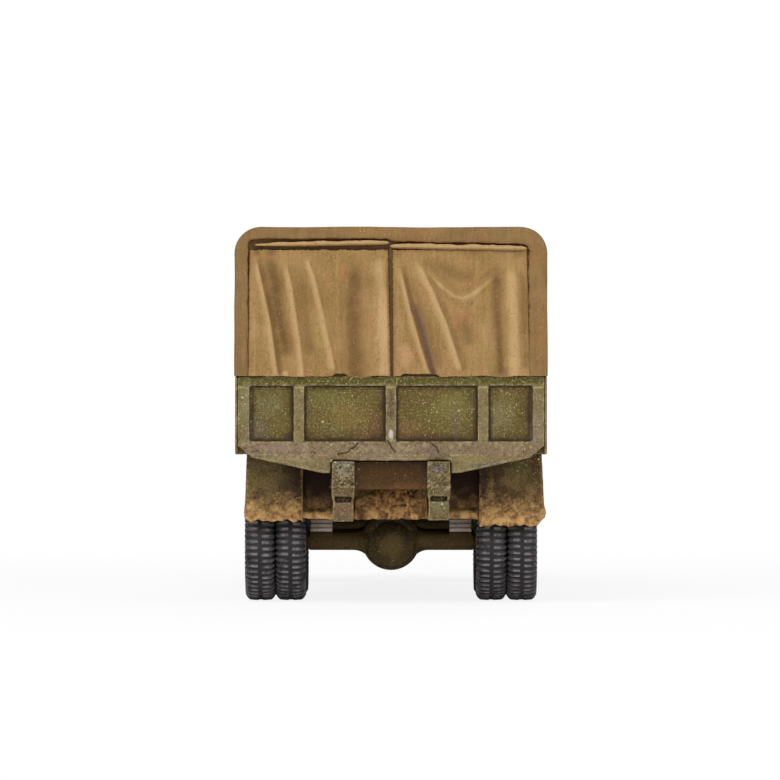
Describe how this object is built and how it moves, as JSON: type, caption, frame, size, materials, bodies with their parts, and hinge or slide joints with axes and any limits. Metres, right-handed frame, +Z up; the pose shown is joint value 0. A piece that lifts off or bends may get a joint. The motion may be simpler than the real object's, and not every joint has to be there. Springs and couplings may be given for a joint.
{
  "type": "scale model military cargo truck",
  "caption": "Painted scale model of a military cargo truck with a closed cab, a ribbed cargo body under a canvas tilt, twin rear tyres, and wheels that turn on axle pins.",
  "frame": {"origin": "middle of the overall box at ground level, where the tyres stand", "axes": "+Y forward along the truck, +X to the truck's right side, +Z up"},
  "size_m": [0.031, 0.0904, 0.0374],
  "materials": {
    "painted_body": "olive drab model paint, dry-brushed and dusty",
    "canvas_paint": "tan canvas model paint, dry-brushed",
    "dark_underside": "dark olive model paint with brown wash",
    "muddy_apron": "olive paint under dry mud",
    "tyre_paint": "matt dark grey, dry-brushed",
    "window_glass": "clear"
  },
  "bodies": {
    "chassis": {"bed_bolsters": "dark_underside", "bed_floor": "painted_body", "bed_sides": "painted_body", "bonnet": "painted_body", "brush_guard": "painted_body", "bumperettes": "painted_body", "cab_back": "painted_body", "cab_doors": "painted_body", "cab_floor": "dark_underside", "cab_front": "painted_body", "cab_roof": "painted_body", "chassis_frame": "dark_underside", "engine_block": "dark_underside", "front_axle": "dark_underside", "front_bumper": "painted_body", "front_springs": "dark_underside", "front_wings": "painted_body", "fuel_tank": "painted_body", "headboard": "painted_body", "headlamps": "painted_body", "middle_axle": "dark_underside", "propeller_shafts": "dark_underside", "radiator": "painted_body", "rear_apron": "muddy_apron", "rear_axle": "dark_underside", "rear_flap_left": "canvas_paint", "rear_flap_right": "canvas_paint", "rear_springs": "dark_underside", "running_boards": "painted_body", "seat": "dark_underside", "spare_rim": "painted_body", "spare_tyre": "tyre_paint", "steering_wheel": "dark_underside", "tailgate": "painted_body", "tilt_cover": "canvas_paint", "tilt_rear_panel": "canvas_paint", "tool_locker": "painted_body", "transfer_case": "dark_underside", "windscreen": "window_glass"},
    "front_left_wheel": {"front_left_tyre": "tyre_paint", "front_left_rim": "painted_body"},
    "front_right_wheel": {"front_right_tyre": "tyre_paint", "front_right_rim": "painted_body"},
    "middle_left_wheel": {"middle_left_tyre": "tyre_paint", "middle_left_rim": "painted_body"},
    "middle_right_wheel": {"middle_right_tyre": "tyre_paint", "middle_right_rim": "painted_body"},
    "rear_left_wheel": {"rear_left_tyre": "tyre_paint", "rear_left_rim": "painted_body"},
    "rear_right_wheel": {"rear_right_tyre": "tyre_paint", "rear_right_rim": "painted_body"}
  },
  "joints": [
    {"name": "front_left_wheel_spin", "type": "hinge", "parent": "chassis", "child": "front_left_wheel", "pos_m": [-0.0111, 0.0346, 0.006], "axis": [1, 0, 0], "continuous": true},
    {"name": "front_right_wheel_spin", "type": "hinge", "parent": "chassis", "child": "front_right_wheel", "pos_m": [0.0111, 0.0346, 0.006], "axis": [1, 0, 0], "continuous": true},
    {"name": "middle_left_wheel_spin", "type": "hinge", "parent": "chassis", "child": "middle_left_wheel", "pos_m": [-0.0116, -0.01545, 0.006], "axis": [1, 0, 0], "continuous": true},
    {"name": "middle_right_wheel_spin", "type": "hinge", "parent": "chassis", "child": "middle_right_wheel", "pos_m": [0.0116, -0.01545, 0.006], "axis": [1, 0, 0], "continuous": true},
    {"name": "rear_left_wheel_spin", "type": "hinge", "parent": "chassis", "child": "rear_left_wheel", "pos_m": [-0.0116, -0.03095, 0.006], "axis": [1, 0, 0], "continuous": true},
    {"name": "rear_right_wheel_spin", "type": "hinge", "parent": "chassis", "child": "rear_right_wheel", "pos_m": [0.0116, -0.03095, 0.006], "axis": [1, 0, 0], "continuous": true}
  ]
}
